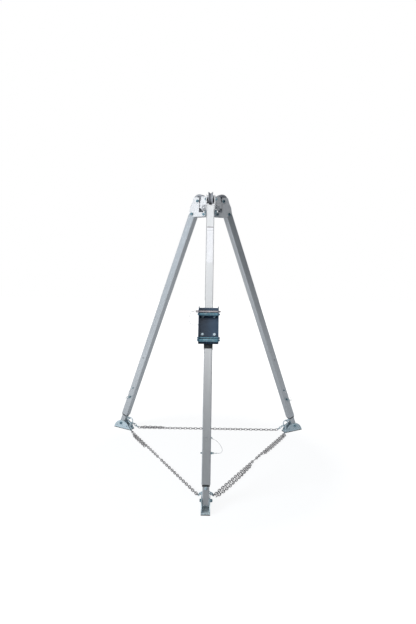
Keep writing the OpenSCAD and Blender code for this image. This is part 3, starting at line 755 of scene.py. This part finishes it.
def spare_strand(leg, side, other, bends, seed):
    """The chain's free end, laid back along its span, from bend to bend.

    A bend is the number of a link of the span, and the distance outside it.
    """
    place = beside(leg, side)
    past_wire = 0.004
    points = [CHAIN_FLOOR + (number * CHAIN_STEP + past_wire) * CHAIN_WAY + away * CHAIN_OUTSIDE
              for number, away in bends]
    parts = []
    for stretch, ((low, _), (high, _)) in enumerate(zip(bends, bends[1:])):
        first, last = points[stretch:stretch + 2]
        run = dict(LINK, Links=high - low, Roll=(0.5 + low % 2) * QUARTER,
                   Wander=2 * LINK_WANDER, Seed=seed + stretch)
        parts.append((grown(CHAIN_TREE, run), place @ facing(first, last - first)))
    span = f"{leg.name}_to_{other.name}"
    piece("spare_links_" + span, joined(parts, side < 0), "half_chain_" + span)


for seed, (leg, side, other) in enumerate((
        (FRONT, -1, LEFT), (FRONT, 1, RIGHT), (LEFT, 1, FRONT),
        (LEFT, -1, RIGHT), (RIGHT, -1, FRONT), (RIGHT, 1, LEFT))):
    half_span(leg, side, other, seed)
spare_strand(RIGHT, -1, FRONT, [(0, 0.019), (6, 0.024), (14, 0.023), (20, 0.018)], 21)
spare_strand(FRONT, 1, RIGHT, [(-1, 0.023), (5, 0.030), (14, 0.028), (22, 0.018)], 31)
spare_strand(LEFT, 1, FRONT, [(3, 0.018), (9, 0.020), (15, 0.018)], 41)
spare_strand(LEFT, -1, RIGHT, [(0, 0.024), (9, 0.019)], 51)

# The photograph's place and lens
CAMERA_PLACE = Vector((0.021565, -3.373707, 1.555))
CAMERA_YAW, CAMERA_DROP, CAMERA_ROLL = (math.radians(a) for a in (0.49, 6.54, 0.78))
CAMERA_LENS, CAMERA_FILM, CAMERA_SIGHT = 26.19, 36, 60


def photo_camera():
    """Looks along Y, dropped a little, then rolled and turned."""
    turn = Matrix.Rotation(CAMERA_YAW, 3, "Z")
    level_right = Vector((1, 0, 0))
    forward = Vector((0, math.cos(CAMERA_DROP), -math.sin(CAMERA_DROP)))
    level_up = level_right.cross(forward)
    right = turn @ (math.cos(CAMERA_ROLL) * level_right + math.sin(CAMERA_ROLL) * level_up)
    up = turn @ (math.cos(CAMERA_ROLL) * level_up - math.sin(CAMERA_ROLL) * level_right)
    axes = Matrix((right, up, -(turn @ forward))).transposed().to_4x4()
    camera = bpy.data.objects.new("camera", bpy.data.cameras.new("camera"))
    camera.data.lens = CAMERA_LENS
    camera.data.sensor_width = CAMERA_FILM
    camera.data.clip_end = CAMERA_SIGHT
    camera.matrix_world = Matrix.Translation(CAMERA_PLACE) @ axes
    bpy.context.scene.collection.objects.link(camera)
    bpy.context.scene.camera = camera


photo_camera()


def soft_lamp(name, place, target, size, power):
    """A soft box for the matt surfaces; gloss takes its light from the studio walls instead."""
    lamp = bpy.data.objects.new(name, bpy.data.lights.new(name, "AREA"))
    lamp.data.shape = "SQUARE"
    lamp.data.size = size
    lamp.data.energy = power
    lamp.location = place
    lamp.visible_glossy = False
    lamp.rotation_euler = (Vector(target) - Vector(place)).to_track_quat("-Z", "Y").to_euler()
    bpy.context.scene.collection.objects.link(lamp)


soft_lamp("key", place=(-4.6, -2.9, 3.0), target=(0, 0.2, 1.2), size=2.4, power=300)
soft_lamp("front", place=(-0.6, -3.6, 5.0), target=(0, 0.2, 1.0), size=2.0, power=45)

AMBIENT, BOX, WALL = 0.13, 1.2, 0.7
STUDIO_TINT = (0.88, 0.99, 1.09)
BEHIND, BEFORE, LEFT_WALL = (0, 1, 0), (0, -1, 0), (-0.891, -0.454, 0)
FLOOR_SIZE, FLOOR_SINK = 14, 0.0005
FLOOR_PAPER = (0.46, 0.5, 0.54, 1)
FLOOR_GLOW, FLOOR_MIRRORED = 1.2, 0.15
SHADOW_SHARE, SHADOW_NEAR, SHADOW_FAR = 0.26, 0.9, 2.2
WHITE = (1, 1, 1, 1)


def background_share(board, mirrored):
    """Camera and clear rays see the white background whole, and glossy rays the share given."""
    camera_ray, clear_ray, glossy_ray = (
        board.add("ShaderNodeLightPath", output=f"Is {kind} Ray")
        for kind in ("Camera", "Transmission", "Glossy"))
    return camera_ray.larger(clear_ray).larger(glossy_ray * mirrored)


def studio_world():
    """White to the camera, and behind the tripod to its metal too.

    In front, the metal sees a soft box overhead and a wall on the left.
    """
    world = bpy.data.worlds.new("studio")
    world.use_nodes = True
    bpy.context.scene.world = world
    board = Board(world.node_tree)
    way = board.add("ShaderNodeTexCoord", output="Generated")
    seen = background_share(board, way.toward(BEHIND).ramp(0.8, 0.97))
    height = way.toward(UP)
    box = height.ramp(0.45, 0.6) * way.toward(BEFORE).ramp(0.2, 0.5)
    wall = way.toward(LEFT_WALL).ramp(0.55, 0.95) * (1 - height.ramp(0.12, 0.4))
    light = board.combine(*((shade * AMBIENT + box * BOX + wall * WALL * shade) * (1 - seen) + seen
                            for shade in STUDIO_TINT))
    board.feed(world.node_tree.nodes["Background"].inputs["Color"], light)


def studio_floor():
    """A pale floor that keeps a faint shadow and melts into the white background."""
    build = bmesh.new()
    bmesh.ops.create_grid(build, x_segments=1, y_segments=1, size=FLOOR_SIZE)
    mesh = bpy.data.meshes.new("floor")
    build.to_mesh(mesh)
    build.free()
    floor = bpy.data.objects.new("floor", mesh)
    floor.location = (0, 0, -FLOOR_SINK)
    bpy.context.scene.collection.objects.link(floor)
    finish = Finish("floor_paper", Roughness=0.9, Base_Color=FLOOR_PAPER)
    glow = finish.add("ShaderNodeEmission", None, {"Color": WHITE, "Strength": FLOOR_GLOW})
    away = finish.place.distance().ramp(SHADOW_NEAR, SHADOW_FAR)
    melt = 1 - SHADOW_SHARE + away * SHADOW_SHARE
    share = background_share(finish, FLOOR_MIRRORED) * melt
    paper = Wire(finish, finish.shader.outputs[0])
    mixed = finish.add("ShaderNodeMixShader", None, {0: share, 1: paper, 2: glow})
    finish.feed(finish.tree.nodes["Material Output"].inputs["Surface"], mixed)
    mesh.materials.append(finish.material)


studio_world()
studio_floor()
bpy.context.scene.view_settings.view_transform = "Standard"
